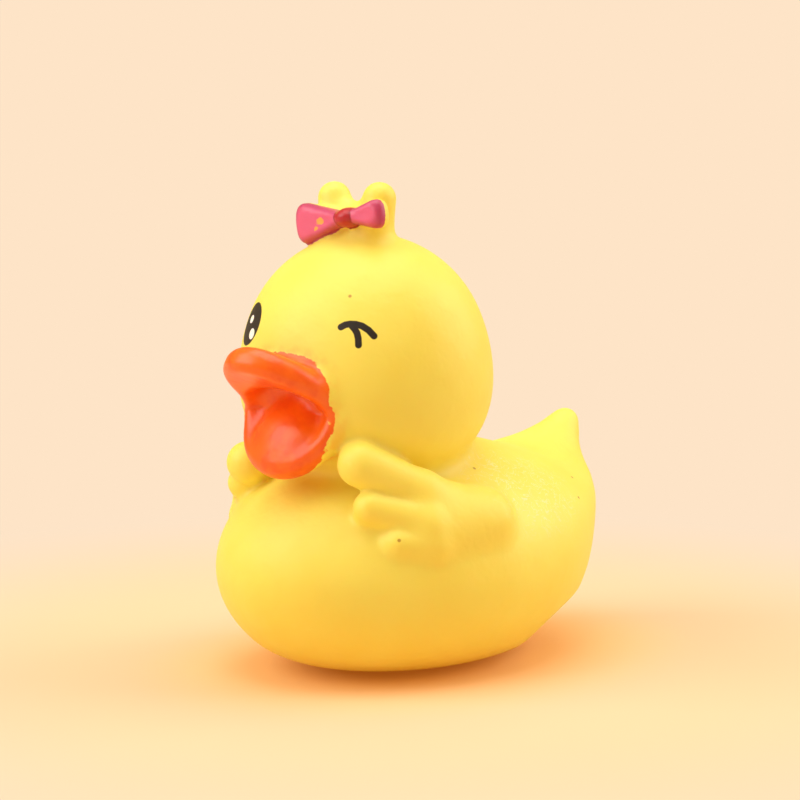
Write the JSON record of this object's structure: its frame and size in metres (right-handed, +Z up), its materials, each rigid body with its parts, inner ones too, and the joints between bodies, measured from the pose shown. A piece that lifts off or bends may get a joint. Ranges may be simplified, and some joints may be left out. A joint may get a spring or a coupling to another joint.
{
  "type": "rubber duck",
  "caption": "Hollow soft vinyl bath duck with a wide open bill, wings held forward, a bow on its tuft and a flat foot.",
  "frame": {"origin": "on the surface that the duck stands on, under the middle of its length and width", "axes": "+Z up, -Y towards the bill, +X towards the duck's left side"},
  "size_m": [0.0496, 0.0744, 0.0705],
  "materials": {
    "yellow_vinyl": "soft vinyl with a satin skin, and sprayed orange, pink, red and black details"
  },
  "bodies": {
    "root": {"duck": "yellow_vinyl"}
  },
  "joints": []
}
